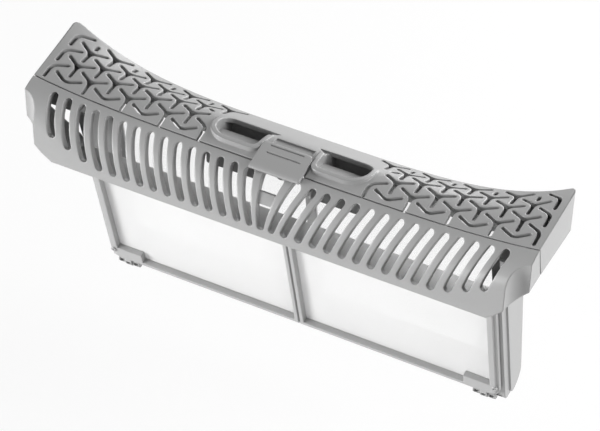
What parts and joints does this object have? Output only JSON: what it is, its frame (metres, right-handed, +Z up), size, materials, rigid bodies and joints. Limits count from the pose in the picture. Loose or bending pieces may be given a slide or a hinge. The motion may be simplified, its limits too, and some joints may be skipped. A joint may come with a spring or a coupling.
{
  "type": "tumble dryer lint filter",
  "caption": "Book-style tumble dryer lint filter: openwork cover with finger wells and latch, slotted bowl grille, and a wedge-shaped mesh pouch whose front half swings open on pin hinges.",
  "frame": {"origin": "middle of the underside of the cover's rear seat rim", "axes": "+X along the length, +Y to the rear, +Z up out of the dryer; the pouch hangs below the cover"},
  "size_m": [0.2868, 0.071, 0.1542],
  "materials": {
    "cover_plastic": "fine satin moulded",
    "frame_plastic": "fine satin moulded",
    "mesh_cloth": "fine woven monofilament mesh",
    "pin_steel": "drawn wire"
  },
  "bodies": {
    "rear_half": {"top_cover": "cover_plastic", "rear_frame": "frame_plastic", "rear_mesh_right": "mesh_cloth", "rear_mesh_left": "mesh_cloth", "hinge_pin_right": "pin_steel", "hinge_pin_left": "pin_steel", "latch_pin": "pin_steel", "latch_spring": "pin_steel"},
    "latch_tab": {"latch": "cover_plastic"},
    "front_half": {"grille": "cover_plastic", "front_frame": "frame_plastic", "front_mesh_right": "mesh_cloth", "front_mesh_left": "mesh_cloth"}
  },
  "joints": [
    {"name": "front_half_swing", "type": "hinge", "parent": "rear_half", "child": "front_half", "pos_m": [0, -0.0097, -0.1204], "axis": [1, 0, 0], "range_deg": [0, 100]},
    {"name": "latch_turn", "type": "hinge", "parent": "rear_half", "child": "latch_tab", "pos_m": [0, -0.0354, 0.0144], "axis": [-1, 0, 0], "range_deg": [0, 8], "stiffness_Nm_per_rad": 0.05, "springref_deg": -17.19}
  ]
}
